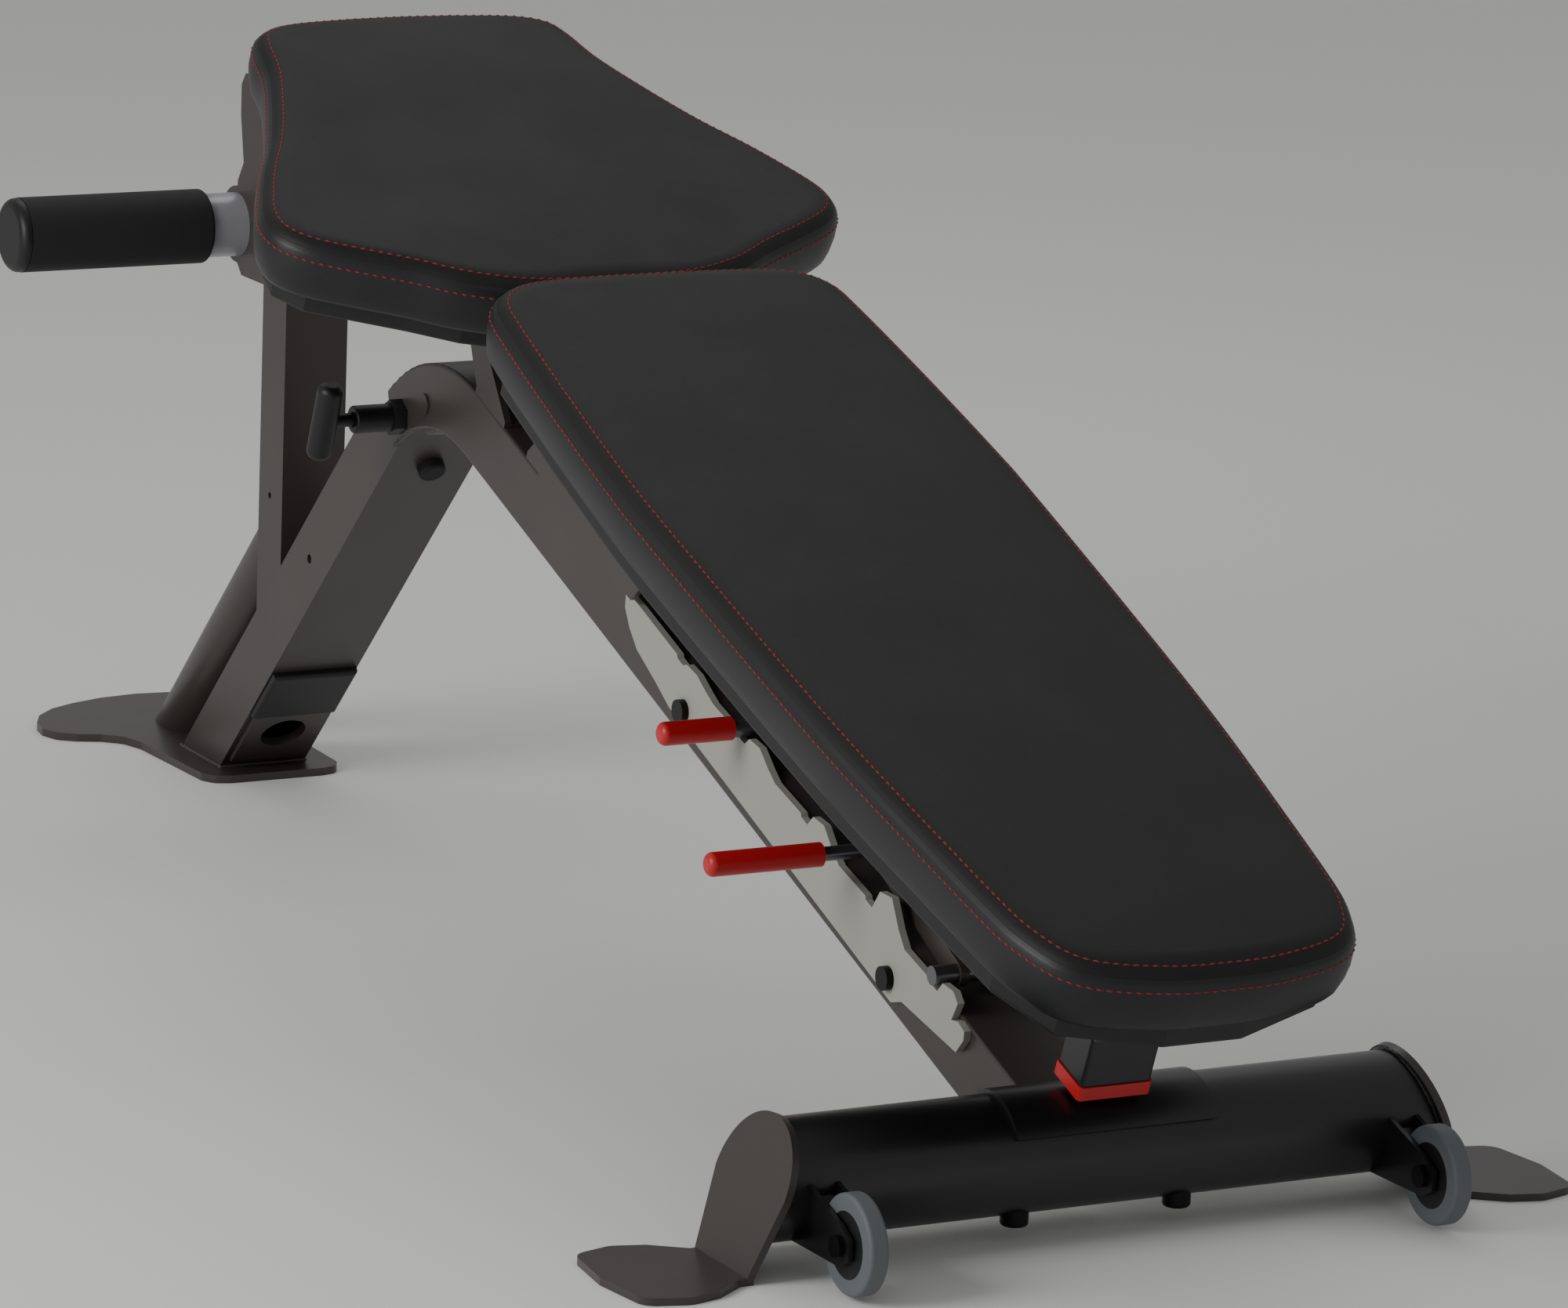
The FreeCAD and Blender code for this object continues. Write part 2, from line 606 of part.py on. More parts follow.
# Brace tube parallel to the leg, cut to the post and the foot plate
pn = S["post_near"]
pf = pn + S["post_deep"]
bo = S["brace_off"]
brace = new_body("brace_tube", on_leg)
pad(brace, "XZ", -660, 380, rounds=[(0, bo, S["brace_rad"])])
cut(brace, "XZ", -670, 400, rounds=[(0, bo, S["brace_rad"] - 2.5)])
lo_c = bo - 40
hi_c = bo + 40
dy = pf - S["leg_y"]
ring = [(200, lo_c), ((dy - lo_c * sa) / ca, lo_c), ((dy - hi_c * sa) / ca, hi_c), (200, hi_c)]
cut(brace, "YZ", -40, 80, ring)
ring = [(floor_at(lo_c), lo_c), (780, lo_c), (780, hi_c), (floor_at(hi_c), hi_c)]
cut(brace, "YZ", -40, 80, ring)

# Upright post on the leg, standing in the frame of the bench
far_c = S["leg_y"] * sa + S["leg_z"] * ca + far
post = new_body("upright_post")
ph = S["post_half"]
pt = S["post_top"]
ring = [(pn, (far_c - pn * sa) / ca), (pf, (far_c - pf * sa) / ca), (pf, pt), (pn, pt)]
pad(post, "YZ", -ph, ph * 2, ring)
ring = [(pn + 2.5, 60), (pf - 2.5, 60), (pf - 2.5, pt - 3), (pn + 2.5, pt - 3)]
cut(post, "YZ", -ph + 2.5, (ph - 2.5) * 2, ring)
cut(post, "YZ", -ph - 1, 4, rounds=[(pn + 22.5, 227, 2.5)])
ry = S["roller_y"]
rz = S["roller_z"]
rr = S["roller_rad"]
car = new_body("roller_carriage")
ring = [(pn - 4.5, 385), (ry - 10, 385), (ry, 395), (ry, 455), (ry - 10, 470), (ry - 3.5, 505), (ry - 3.5, 528),
        (ry - 10.5, 537), (pn - 4.5, 537)]
pad(car, "YZ", -ph - 4.5, ph * 2 + 9, ring)
pad(car, "YZ", -ph - 4.5, ph * 2 + 9, rounds=[(ry, rz, rr + 5)])
cut(car, "YZ", -ph, ph * 2, [(pn, 300), (pf, 300), (pf, pt), (pn, pt)])
cut(car, "YZ", -ph - 6, ph * 2 + 12, rounds=[(ry, rz, rr)])
bar = new_body("roller_tube")
pad(bar, "YZ", -200, 400, rounds=[(ry, rz, rr)])
cut(bar, "YZ", -201, 402, rounds=[(ry, rz, rr - 2)])
for side, sgn in (("right", 1), ("left", -1)):
    f0 = S["foam_from"]
    f1 = S["foam_to"]
    foam = new_body(side + "_foam_roller")
    pad(foam, "YZ", f0 if sgn > 0 else -f1, f1 - f0, rounds=[(ry, rz, S["foam_rad"])])
    soften(foam, 3, rim(sgn * f0.val, 0))
    cut(foam, "YZ", -260, 520, rounds=[(ry, rz, rr + 0.08)])
    end = new_body(side + "_roller_cap")
    pad(end, "YZ", f1 + 0.5 if sgn > 0 else -f1 - 8.5, 8, rounds=[(ry, rz, S["foam_rad"] - 0.3)])
    soften(end, 6.5, rim(sgn * (f1.val + 8.5), 0))
    pad(end, "YZ", 190 if sgn > 0 else -f1 - 0.5, f1 + 0.5 - 190, rounds=[(ry, rz, rr - 2)])

# Back pad carrier: an open channel with lugs for the strut
si = S["side_in"]
ct = S["carrier_thk"]
so = si + ct
bv = S["bolster_v"]
lu = S["link_u"]
lv = S["link_v"]
frame = new_body("back_frame", on_beam)
ring = [(-150, bv), (-150, bv - 18), (60, bv - 36), (470, lv + 8), (500, 58), (650, 56), (673, 80),
        (680, hv, 16, 1), (hu, hv + 16), (hu - 16, bv)]
pad(frame, "YZ", -so, ct, ring)
pad(frame, "YZ", si, ct, ring)
pad(frame, "YZ", -so, so * 2, [(-150, bv - ct), (hu - 24, bv - ct), (hu - 24, bv), (-150, bv)])
ring = [(lu - 30, bv), (lu - 11, lv, 11, 1), (lu, lv - 11, 11, 1), (lu + 11, lv), (lu + 30, bv)]
pad(frame, "YZ", -35, 4, ring)
pad(frame, "YZ", 31, 4, ring)
cut(frame, "YZ", -so - 1, so * 2 + 2, rounds=[(hu, hv, hinge_rad)])
cut(frame, "YZ", -36, 72, rounds=[(lu, lv, 6)])
stud("back_hinge_pin", "YZ", hu, hv, -so, so * 2, hinge_rad, on_beam)
stud("strut_hinge_pin", "YZ", lu, lv, -35, 70, 6, on_beam)


def pad_half(kind, inset):
    """Half outline of a pad, from the lower end to the upper end."""
    if kind == "back":
        a = S["back_tail"]
        b = S["back_nose"]
        w = S["back_half"]
        rows = [(w * 0.25, a + inset), (w * 0.70, a + 26 + inset * 0.7), (w * 0.83, a + 82), (w * 0.885, a + 167),
                (w * 0.94, a + 267), (w * 0.976, a + 397), (w, a + 540), (w * 0.997, a + 591),
                (w * 0.968, a + 692), (w * 0.926, b - 49), (w * 0.81, b - 16 - inset), (w * 0.63, b - inset)]
    else:
        a = S["seat_near"]
        b = S["seat_far"]
        w = S["seat_half"]
        rows = [(w * 0.28, a + inset), (w * 0.49, a + 16 + inset), (w * 0.64, a + 36 + inset),
                (w * 0.795, a + 54 + inset), (w * 0.93, a + 72 + inset * 0.7), (w, a + 101),
                (w * 0.986, a + 122), (w * 0.884, a + 173), (w * 0.772, a + 218), (w * 0.674, a + 269),
                (w * 0.582, b - 63), (w * 0.526, b - 12 - inset), (w * 0.42, b - inset)]
    return [(x - inset, y) for x, y in rows]


def cushions(side, base, shroud_h):
    low = new_body(side + "_shroud", on_beam)
    pad(low, "XY", base, shroud_h, mirror_pts(pad_half(side, Size(8))))
    soften(low, 4, rim(base.val, 2))
    soft = new_body(side + "_cushion", on_beam)
    pad(soft, "XY", base + shroud_h, S["cushion_thk"], mirror_pts(pad_half(side, Size(0))))
    soften(soft, 5, rim((base + shroud_h + S["cushion_thk"]).val, 2))


cushions("back", bv, S["shroud_thk"])
stop = new_body("end_bracket", on_beam)
pad(stop, "YZ", -25, 50, [(-112, 81.5), (-80, 81.5), (-80, bv - ct), (-112, bv - ct)])
soften(stop, 3, along(2))
trim = new_body("end_bracket_edge", on_beam)
pad(trim, "YZ", -26, 52, [(-113, 72), (-79, 72), (-79, 81.5), (-113, 81.5)])
soften(trim, 3, along(2))

# Back strut with its lock rod, pull rod and grip
nv = Size(61)
strut = new_body("back_strut", on_beam)
slant = (lv - nv) / (lu - n0 - 3)
cu1 = n0 + 3
ring = [(cu1, nv - 8.5), (lu - 4, lv - 8.5), (lu + 9, lv - 6), (lu + 11, lv + 3), (lu - 2, lv + 8.5),
        (cu1, nv + 8.5, 8.5, 1), (cu1 - 8.5, nv, 8.5, 1)]
pad(strut, "YZ", -30, 6, ring)
pad(strut, "YZ", 24, 6, ring)
pad(strut, "YZ", -30, 60, [(240, 77), (262, 79.2), (262, 85), (240, 82.8)])
bu = Size(169)
bvv = nv + slant * (bu - cu1)
for u, v, r in ((lu, lv, 6 + S["play"]), (cu1, nv, S["rod_rad"]), (bu, bvv, S["pull_rad"])):
    cut(strut, "YZ", -31, 62, rounds=[(u, v, r)])
stud("lock_rod", "YZ", cu1, nv, -47, 94, S["rod_rad"], on_beam)
rod = stud("pull_rod", "YZ", bu, bvv, -148, 178, S["pull_rad"], on_beam)


def grip(name, u, v, a, b, rad):
    body = new_body(name, on_beam)
    pad(body, "YZ", a, b - a, rounds=[(u, v, S["grip_rad"])])
    soften(body, 5, rim(a, 0))
    cut(body, "YZ", a + 3, b - a, rounds=[(u, v, rad)])


grip("pull_rod_grip", bu, bvv, -151, -69, S["pull_rad"])

# Seat carrier, strut, and the rod in its hook
sb_v = S["seat_base"]
qu = S["lever_u"]
qv = S["lever_v"]
seat = new_body("seat_frame", on_beam)
ring = [(700, sb_v), (700, 121), (780, 94), (842, 92), (842, 66), (848, 61), (856, 61), (862, 66),
        (872, 95), (1035, 118), (1035, sb_v)]
pad(seat, "YZ", -so, ct, ring)
pad(seat, "YZ", si, ct, ring)
pad(seat, "YZ", -so, so * 2, [(712, sb_v - ct), (1035, sb_v - ct), (1035, sb_v), (712, sb_v)])
cut(seat, "YZ", -so - 1, so * 2 + 2, rounds=[(su, sv, hinge_rad), (qu, qv, 6)])
stud("seat_hinge_pin", "YZ", su, sv, -so, so * 2, hinge_rad, on_beam)
stud("lever_hinge_pin", "YZ", qu, qv, -so, so * 2, 6, on_beam)
cushions("seat", sb_v, Size(17))
au = Size(336)
av = Size(60.7)
link = new_body("seat_strut", on_beam)
ring = [(au, av - 4.5), (qu - 8, qv - 4.5), (qu - 8, qv + 4.5), (au, av + 4.5)]
pad(link, "YZ", -5, 10, ring)
pad(link, "YZ", -5, 10, rounds=[(au, av, 9)])
pad(link, "YZ", -5, 10, rounds=[(qu, qv, 10)])
cut(link, "YZ", -6, 12, rounds=[(au, av, S["rod_rad"]), (qu, qv, 6 + S["play"])])
stud("seat_rod", "YZ", au, av, -102, 149, S["rod_rad"], on_beam)
grip("seat_rod_grip", au, av, -105, -52, S["rod_rad"])

doc.recompute()
bad = []
for obj in doc.Objects:
    if "Invalid" in obj.State or "Error" in obj.State:
        bad.append(obj.Name)
for node in NODES:
    if node.Shape.isNull() or not node.Shape.isValid():
        bad.append(node.Label)
if bad:
    raise RuntimeError("features failed: " + ", ".join(bad))
os.makedirs("parts", exist_ok=True)
for node in NODES:
    node.Shape.exportStep("parts/%s.step" % node.Label)
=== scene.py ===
import json
import math
import random

import bmesh
import bpy
from mathutils import Matrix, Vector


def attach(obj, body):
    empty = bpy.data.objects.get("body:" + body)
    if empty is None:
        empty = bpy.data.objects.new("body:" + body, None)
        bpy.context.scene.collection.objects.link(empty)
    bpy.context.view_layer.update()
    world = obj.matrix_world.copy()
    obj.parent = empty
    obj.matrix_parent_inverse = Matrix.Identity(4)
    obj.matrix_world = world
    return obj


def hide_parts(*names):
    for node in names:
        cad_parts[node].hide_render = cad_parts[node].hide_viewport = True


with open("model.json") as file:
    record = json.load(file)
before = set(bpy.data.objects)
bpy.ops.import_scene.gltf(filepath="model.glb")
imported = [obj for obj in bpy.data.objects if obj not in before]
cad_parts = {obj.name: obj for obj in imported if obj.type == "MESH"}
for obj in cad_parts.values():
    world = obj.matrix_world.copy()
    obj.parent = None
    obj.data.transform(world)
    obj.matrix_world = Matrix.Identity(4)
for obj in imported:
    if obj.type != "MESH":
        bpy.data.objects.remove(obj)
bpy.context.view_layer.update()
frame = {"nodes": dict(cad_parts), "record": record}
random.seed(7)
scene = bpy.context.scene

# ---------------------------------------------------------------- the bench's own sizes
# millimetres, with MM turning them to Blender's metres
MM = 0.001
BEAM_SLOPE = math.radians(19.83)
BEAM_START_Y = -571.45
BEAM_START_Z = 61.6
COS_SLOPE = math.cos(BEAM_SLOPE)
SIN_SLOPE = math.sin(BEAM_SLOPE)
REAR_TUBE_Y = -674.25
REAR_TUBE_Z = 54.0


def on_beam(x, along, above):
    """A point given along and above the sloping beam, in metres."""
    y = BEAM_START_Y + along * COS_SLOPE - above * SIN_SLOPE
    z = BEAM_START_Z + along * SIN_SLOPE + above * COS_SLOPE
    return Vector((x, y, z)) * MM


def show(obj):
    """Put an object in the scene."""
    scene.collection.objects.link(obj)
    return obj


# ---------------------------------------------------------------- materials
GRAIN_DEPTH = 0.4 * MM
GRAIN_DETAIL = 3.0
PATCH_MM = 500 / 7
PATCH_DETAIL = 4.0
COAT_ROUGH = 0.25


def colour(code):
    """sRGB hex to linear RGBA."""
    vals = [int(code[i:i + 2], 16) / 255 for i in (1, 3, 5)]
    lin = [v / 12.92 if v <= 0.04045 else ((v + 0.055) / 1.055) ** 2.4 for v in vals]
    return (*lin, 1.0)


def add_node(tree, kind, settings, links):
    """Add a node: settings by input name, links as (input name, the output it takes)."""
    node = tree.nodes.new(kind)
    for socket, value in settings.items():
        node.inputs[socket].default_value = value
    for socket, source in links:
        tree.links.new(source, node.inputs[socket])
    return node


def material(name, code, rough, metal=0.0, grain=0.0, grain_mm=1.0, coat=0.0, vary=0.0, shine=0.5):
    """A surface with an optional fine grain, and roughness that may vary in soft patches."""
    mat = bpy.data.materials.new(name)
    mat.use_nodes = True
    mat.diffuse_color = colour(code)
    tree = mat.node_tree
    surface = tree.nodes["Principled BSDF"]
    surface.inputs["Base Color"].default_value = colour(code)
    surface.inputs["Roughness"].default_value = rough
    surface.inputs["Metallic"].default_value = metal
    surface.inputs["Coat Weight"].default_value = coat
    surface.inputs["Coat Roughness"].default_value = COAT_ROUGH
    surface.inputs["Specular IOR Level"].default_value = shine
    if not (grain or vary):
        return mat
    place = add_node(tree, "ShaderNodeTexCoord", {}, []).outputs["Object"]
    if grain:
        sizes = {"Scale": 1.0 / (grain_mm * MM), "Detail": GRAIN_DETAIL}
        noise = add_node(tree, "ShaderNodeTexNoise", sizes, [("Vector", place)])
        depth = {"Strength": grain, "Distance": GRAIN_DEPTH}
        bump = add_node(tree, "ShaderNodeBump", depth, [("Height", noise.outputs["Fac"])])
        tree.links.new(bump.outputs["Normal"], surface.inputs["Normal"])
    if vary:
        sizes = {"Scale": 1.0 / (PATCH_MM * MM), "Detail": PATCH_DETAIL}
        patches = add_node(tree, "ShaderNodeTexNoise", sizes, [("Vector", place)])
        spread = {"To Min": rough - vary, "To Max": rough + vary}
        rub = add_node(tree, "ShaderNodeMapRange", spread, [("Value", patches.outputs["Fac"])])
        tree.links.new(rub.outputs["Result"], surface.inputs["Roughness"])
    return mat


# Upholstery vinyl, calendered and embossed: a dull, faintly pebbled charcoal.
VINYL_TOP = material("charcoal vinyl top", "#191716", 0.58, grain=0.35, grain_mm=0.9, vary=0.05,
                     shine=0.36)
# The same vinyl pulled tighter round the side: smoother, with a clearer highlight; its base colour is set
# darker than the top's as painted shade.
VINYL_SIDE_PAINTED_SHADE = material("vinyl side painted darker as shade", "#141517", 0.45, grain=0.25, grain_mm=0.9, vary=0.04)
# Twisted polyester thread: dull red, its twist too fine to show.
THREAD = material("red polyester thread", "#8c2029", 0.65)

PAINT = {
    # Sprayed and baked powder coat: a faint orange peel under a soft sheen.
    "frame_paint": material("satin brown powder coat", "#38322f", 0.42, grain=0.12, grain_mm=0.8,
                            coat=0.2, vary=0.05),
    "tube_paint": material("satin black powder coat", "#0e0e11", 0.36, grain=0.12, grain_mm=0.8,
                           coat=0.25, vary=0.05),
    # The same coat in pale grey on laser cut plate, with a little less shine.
    "ladder_steel": material("grey powder coated steel", "#a9a9a0", 0.5, grain=0.1, grain_mm=0.8,
                             vary=0.06),
    # Blackened bolt steel: nearly black, with a hard small highlight.
    "black_fastener": material("black oxide steel", "#0d0d0e", 0.32, metal=0.6),
    # Moulded nylon: black and half dull, with a fine moulded texture.
    "black_plastic": material("black nylon", "#0e0e10", 0.45, grain=0.15, grain_mm=0.5),
    # Cast polyurethane: an even mid grey with almost no shine.
    "wheel_tread": material("grey polyurethane tread", "#62676a", 0.6, grain=0.1, grain_mm=0.6),
    # Moulded rubber: black and dull.
    "black_rubber": material("black rubber", "#0c0c0d", 0.7),
    # Silver paint on drawn tube: pale, with a soft metallic highlight.
    "silver_tube": material("silver painted tube", "#a8a8ae", 0.32, metal=0.3),
    # Closed cell nitrile foam, extruded: very dull, its skin broken by small cells.
    "foam": material("black nitrile foam", "#1b1b1d", 0.72, grain=0.4, grain_mm=0.7),
    # Moulded ABS: black, with a leather-like texture that breaks up the highlight.
    "shroud_plastic": material("moulded black plastic", "#121314", 0.5, grain=0.3, grain_mm=0.6),
    "vinyl": VINYL_TOP,
    # Dipped PVC grip: a smooth saturated red with a soft highlight.
    "red_rubber": material("red vinyl grip", "#c41c22", 0.38, grain=0.1, grain_mm=0.8),
    # Zinc plated rod, drawn: dark grey metal with a long bright highlight.
    "steel_rod": material("dark zinc plated steel", "#77777c", 0.28, metal=0.85),
}
slots = {p["node"]: p["material_slot"] for p in frame["record"]["subparts"]}
for name, node in frame["nodes"].items():
    node.data.materials.clear()
    # the wheel brackets are black like the tube they hang from
    slot_name = "tube_paint" if name.endswith("wheel_bracket") else slots[name]
    node.data.materials.append(PAINT[slot_name])


# ---------------------------------------------------------------- pads
CURVE_STEPS = 24
SMOOTH_PASSES = 10
OUTLINE_POINTS = 220
SEAM_HEIGHT = 44.4
# offset outwards and height above the base, from under the pad's edge to the start of its top
SIDE_ROWS = [(-9, 0.2), (-1.2, 0.0), (1.0, 3), (3.0, 10), (4.4, 20), (4.2, 29), (3.2, 34.5),
             (2.2, 36.8), (1.0, 37.8), (0.4, 39.2), (-2.5, 42.0), (-8, SEAM_HEIGHT)]
# rows of faces below this one are the side panel, which gets the vinyl painted darker as shade
FIRST_TOP_ROW = 8
TOP_STEPS = 15
CROWN_REACH = 125.0
CROWN_POWER = 1.2


def loop_points(half, count):
    """A smooth closed outline through half an outline and its mirror, evenly spaced."""
    ctrl = list(half) + [(-x, y) for x, y in reversed(half) if x > 0]
    n = len(ctrl)
    fine = []
    for i in range(n):
        p0, p1, p2, p3 = (Vector(ctrl[(i + k) % n]) for k in (-1, 0, 1, 2))
        for k in range(CURVE_STEPS):
            t = k / CURVE_STEPS
            a = 2 * p1 + (p2 - p0) * t
            b = (2 * p0 - 5 * p1 + 4 * p2 - p3) * t * t
            d = (-p0 + 3 * p1 - 3 * p2 + p3) * t ** 3
            fine.append((a + b + d) * 0.5)
    for _ in range(SMOOTH_PASSES):
        m = len(fine)
        fine = [(fine[i - 1] + fine[i] * 2 + fine[(i + 1) % m]) / 4 for i in range(m)]
    dist = lengths(fine)
    out = []
    j = 0
    for k in range(count):
        want = dist[-1] * k / count
        while dist[j + 1] < want:
            j += 1
        t = (want - dist[j]) / max(dist[j + 1] - dist[j], 1e-9)
        out.append(fine[j].lerp(fine[(j + 1) % len(fine)], t))
    return out


def lengths(path):
    """The distance run at each point of a closed path, ending with its whole length."""
    dist = [0.0]
    for i in range(len(path)):
        dist.append(dist[-1] + (path[(i + 1) % len(path)] - path[i]).length)
    return dist


def outward(loop, i):
    """The direction out of a flat outline at one of its points."""
    t = (loop[(i + 1) % len(loop)] - loop[i - 1]).normalized()
    return Vector((t.y, -t.x))


def shifted(loop, out):
    """The outline moved outwards by a distance along its normals."""
    return [p + outward(loop, i) * out for i, p in enumerate(loop)]


def crown_rise(q, spine):
    """How far the top has risen at a point, from 0 at the edge to 1 along the middle."""
    over = max(spine[0] - q.y, q.y - spine[1], 0.0)
    d = math.hypot(q.x, over) / CROWN_REACH
    return math.cos(min(d, 1.0) * math.pi / 2) ** CROWN_POWER


def finish_mesh(name, bm, *mats):
    """Turn a bmesh into an object in the scene with its materials."""
    mesh = bpy.data.meshes.new(name)
    bm.to_mesh(mesh)
    bm.free()
    for mat in mats:
        mesh.materials.append(mat)
    return show(bpy.data.objects.new(name, mesh))


def make_pad(name, half, base, spine, crown, count=OUTLINE_POINTS):
    """A stitched pad: side panel, seam, and a crowned top, as one mesh."""
    loop = loop_points(half, count)
    rings = [[Vector((p.x, p.y, base + z)) for p in shifted(loop, o)] for o, z in SIDE_ROWS]
    edge = shifted(loop, SIDE_ROWS[-1][0])
    for k in range(1, TOP_STEPS + 1):
        ring = []
        for p in edge:
            mid = Vector((0.0, min(max(p.y, spine[0]), spine[1])))
            q = p.lerp(mid, k / TOP_STEPS)
            ring.append(Vector((q.x, q.y, base + SEAM_HEIGHT + crown * crown_rise(q, spine))))
        rings.append(ring)
    bm = bmesh.new()
    grid = [[bm.verts.new(on_beam(p.x, p.y, p.z)) for p in ring] for ring in rings]
    for a, b in zip(grid, grid[1:]):
        for i in range(count):
            j = (i + 1) % count
            f = bm.faces.new((a[i], a[j], b[j], b[i]))
            f.smooth = True
    bm.faces.ensure_lookup_table()
    # the side panel rows and the bottom take the side vinyl, painted darker as shade
    for k, f in enumerate(bm.faces):
        f.material_index = 0 if k // count >= FIRST_TOP_ROW else 1
    bottom = bm.faces.new(list(reversed(grid[0])))
    bottom.material_index = 1
    bmesh.ops.remove_doubles(bm, verts=[v for ring in grid[-2:] for v in ring], dist=0.6 * MM)
    bmesh.ops.recalc_face_normals(bm, faces=bm.faces)
    return finish_mesh(name, bm, VINYL_TOP, VINYL_SIDE_PAINTED_SHADE), loop


CLOTH_FRAMES = 16
BASE_HELD_BELOW = 6
SEAM_HELD_FROM = 36.5
SEAM_HELD_TO = 39.6
TOP_FROM = 39
MIDDLE_HALF = 30
TOP_HOLD = 0.8
SIDE_HOLD = 0.88


def how_held(lift, across):
    """How firmly the foam holds the cover, by height and by distance from the middle."""
    if lift < BASE_HELD_BELOW or SEAM_HELD_FROM < lift < SEAM_HELD_TO:
        return 1.0
    if lift > TOP_FROM:
        return 1.0 if across < MIDDLE_HALF else TOP_HOLD
    return SIDE_HOLD


def settle(obj, base):
    """Let the cover fill out over its foam: a short cloth run, held at the seam and base."""
    group = obj.vertex_groups.new(name="held")
    for v in obj.data.vertices:
        p = v.co / MM
        lift = (p.z - BEAM_START_Z) * COS_SLOPE - (p.y - BEAM_START_Y) * SIN_SLOPE - base
        group.add([v.index], how_held(lift, abs(p.x)), "REPLACE")
    mod = obj.modifiers.new("cover", "CLOTH")
    st = mod.settings
    st.quality = 6
    st.mass = 0.35
    st.tension_stiffness = 25
    st.compression_stiffness = 12
    st.bending_stiffness = 6.0
    st.vertex_group_mass = "held"
    st.pin_stiffness = 4.0
    st.use_pressure = True
    st.uniform_pressure_force = 1.2
    st.shrink_min = -0.012
    mod.collision_settings.use_collision = False
    scene.frame_start = 1
    scene.frame_end = CLOTH_FRAMES
    mod.point_cache.frame_start = 1
    mod.point_cache.frame_end = CLOTH_FRAMES
    for f in range(1, CLOTH_FRAMES + 1):
        scene.frame_set(f)
    dg = bpy.context.evaluated_depsgraph_get()
    done = bpy.data.meshes.new_from_object(obj.evaluated_get(dg))
    obj.modifiers.clear()
    obj.data = done
    scene.frame_set(1)


# ---------------------------------------------------------------- stitches
STITCH_STEP = 6.2
STITCH_LENGTH = 4.6
STITCH_RAD = 0.8
STITCH_SIDES = 6
STITCH_END = 0.35
# heights of a stitch's middle and ends over the cover
STITCH_OVER = 0.15
STITCH_UNDER = -0.25
# where the two rows of needle holes lie, and how far off the cover they are looked for
TOP_ROW_IN = -6
TOP_ROW_HEIGHT = 46
SIDE_ROW_HEIGHT = 30.5
LOOK_FROM = 20 * MM
LOOK_FAR = 50 * MM


def stitch_row(name, path, normals):
    """Short raised stitches along a closed path given in metres."""
    bm = bmesh.new()
    n = len(path)
    dist = lengths(path)
    count = int(dist[-1] / (STITCH_STEP * MM))
    gap = dist[-1] / count
    j = 0

    def at(d):
        nonlocal j
        d = d % dist[-1]
        if d < dist[j]:
            j = 0
        while dist[j + 1] < d:
            j += 1
        t = (d - dist[j]) / max(dist[j + 1] - dist[j], 1e-9)
        return path[j].lerp(path[(j + 1) % n], t), normals[j].lerp(normals[(j + 1) % n], t).normalized()

    for k in range(count):
        a, na = at(k * gap)
        m, nm = at(k * gap + STITCH_LENGTH * MM * 0.5)
        b, nb = at(k * gap + STITCH_LENGTH * MM)
        rings = []
        t = (b - a).normalized()
        for p, nrm, r, over in ((a, na, STITCH_END, STITCH_UNDER), (m, nm, 1.0, STITCH_OVER),
                                (b, nb, STITCH_END, STITCH_UNDER)):
            side = t.cross(nrm).normalized()
            centre = p + nrm * over * MM
            ring = []
            for q in range(STITCH_SIDES):
                ang = q * 2 * math.pi / STITCH_SIDES
                off = (side * math.cos(ang) + nrm * math.sin(ang)) * STITCH_RAD * r * MM
                ring.append(bm.verts.new(centre + off))
            rings.append(ring)
        for r0, r1 in zip(rings, rings[1:]):
            for q in range(STITCH_SIDES):
                q1 = (q + 1) % STITCH_SIDES
                f = bm.faces.new((r0[q], r0[q1], r1[q1], r1[q]))
                f.smooth = True
        bm.faces.new(list(reversed(rings[0])))
        bm.faces.new(rings[-1])
    return finish_mesh(name, bm, THREAD)


def on_surface(obj, pts, aim):
    """Drop points on to the pad's surface and return them with the surface normals."""
    dg = bpy.context.evaluated_depsgraph_get()
    dg.update()
    places = []
    normals = []
    for p, way in zip(pts, aim):
        hit, loc, nrm, _ = obj.ray_cast(p + way * LOOK_FROM, -way, distance=LOOK_FAR)
        if not hit:
            loc, nrm = p, way
        places.append(loc.copy())
        normals.append(nrm.copy())
    return places, normals


def stitched(name, obj, loop, base):
    """Two rows of stitches, either side of the seam."""
    up = (on_beam(0, 0, 1) - on_beam(0, 0, 0)).normalized()
    top = [on_beam(p.x, p.y, base + TOP_ROW_HEIGHT) for p in shifted(loop, TOP_ROW_IN)]
    places, normals = on_surface(obj, top, [up] * len(loop))
    made = [stitch_row(name + "_top_stitches", places, normals)]
    ways = []
    for i in range(len(loop)):
        q = outward(loop, i)
        ways.append((on_beam(q.x, q.y, 0) - on_beam(0, 0, 0)).normalized())
    side = [on_beam(p.x, p.y, base + SIDE_ROW_HEIGHT) for p in loop]
    places, normals = on_surface(obj, side, ways)
    made.append(stitch_row(name + "_side_stitches", places, normals))
    return made


# half outlines, as distance from the middle and distance along the beam
BACK_HALF = [(0, -196.5), (36, -195), (78, -185), (100, -170), (112, -143), (118, -114), (126, -29),
             (134, 71), (139, 201), (142.3, 343), (142, 395), (138, 496), (132, 590), (127, 620),
             (112, 638), (86, 647), (40, 649.5), (0, 650)]
SEAT_HALF = [(0, 691.5), (60, 693), (105, 708), (137, 728), (171, 746.5), (198, 763), (211, 778),
             (215, 794), (211, 817), (190, 866), (166, 911), (145, 961), (129, 1006), (122, 1042),
             (113, 1062), (90, 1073), (45, 1077.5), (0, 1079)]
